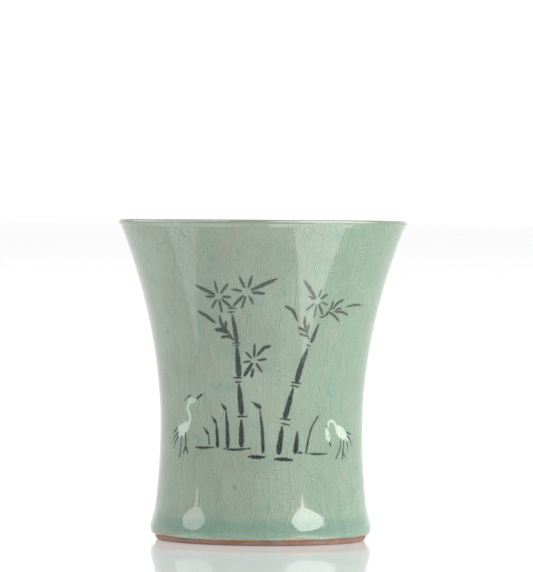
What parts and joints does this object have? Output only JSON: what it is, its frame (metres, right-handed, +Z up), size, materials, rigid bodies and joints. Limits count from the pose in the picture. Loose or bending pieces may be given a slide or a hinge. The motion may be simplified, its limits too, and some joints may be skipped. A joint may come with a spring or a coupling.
{
  "type": "brush pot",
  "caption": "Waisted stoneware pot for standing brushes, with a flared mouth, glazed outside and in, inlaid with bamboo and cranes, on a bare clay foot ring.",
  "frame": {"origin": "centre of the foot ring, on the surface that the pot stands on", "axes": "+Z up along the turning axis to the rim, -Y towards the side with the inlaid picture, +X to the right of that picture"},
  "size_m": [0.1084, 0.1084, 0.12],
  "materials": {
    "bare_clay": "matt, fired brown, fine grain",
    "celadon_glaze": "glossy, crackled, grey-green",
    "black_slip": "dark inlaid slip seen under clear glaze",
    "white_slip": "white inlaid slip seen under clear glaze"
  },
  "bodies": {
    "root": {"clay_body": "bare_clay", "glaze_base": "celadon_glaze", "glaze_coat": "celadon_glaze", "ground_1": "black_slip", "ground_2": "black_slip", "ground_3": "black_slip", "ground_4": "black_slip", "ground_5": "black_slip", "leaf_far_left": "black_slip", "leaf_far_right": "black_slip", "leaf_middle": "black_slip", "left_crane": "white_slip", "left_crane_beak": "black_slip", "left_crane_crest": "black_slip", "left_crane_leg_1": "black_slip", "left_crane_leg_2": "black_slip", "left_crane_plume_1": "black_slip", "left_crane_plume_2": "black_slip", "left_crane_plume_3": "black_slip", "left_culm_1": "black_slip", "left_culm_2": "black_slip", "left_culm_3": "black_slip", "left_culm_4": "black_slip", "left_joint_1": "black_slip", "left_joint_2": "black_slip", "left_joint_3": "black_slip", "left_joint_4": "black_slip", "right_crane": "white_slip", "right_crane_beak": "black_slip", "right_crane_leg_1": "black_slip", "right_crane_leg_2": "black_slip", "right_crane_plume_1": "black_slip", "right_crane_plume_2": "black_slip", "right_crane_plume_3": "black_slip", "right_culm_1": "black_slip", "right_culm_2": "black_slip", "right_culm_3": "black_slip", "right_culm_4": "black_slip", "right_joint_1": "black_slip", "right_joint_2": "black_slip", "right_joint_3": "black_slip", "shoot_1": "black_slip", "shoot_2": "black_slip", "shoot_2_bud": "black_slip", "shoot_3": "black_slip", "shoot_3_bud": "black_slip", "shoot_4": "black_slip", "shoot_4_bud": "black_slip", "shoot_5": "black_slip", "sprig_far_right": "black_slip", "sprig_left": "black_slip", "sprig_right": "black_slip", "stalk": "black_slip", "whorl_far_left": "black_slip", "whorl_left": "black_slip", "whorl_middle": "black_slip", "whorl_right": "black_slip"}
  },
  "joints": []
}
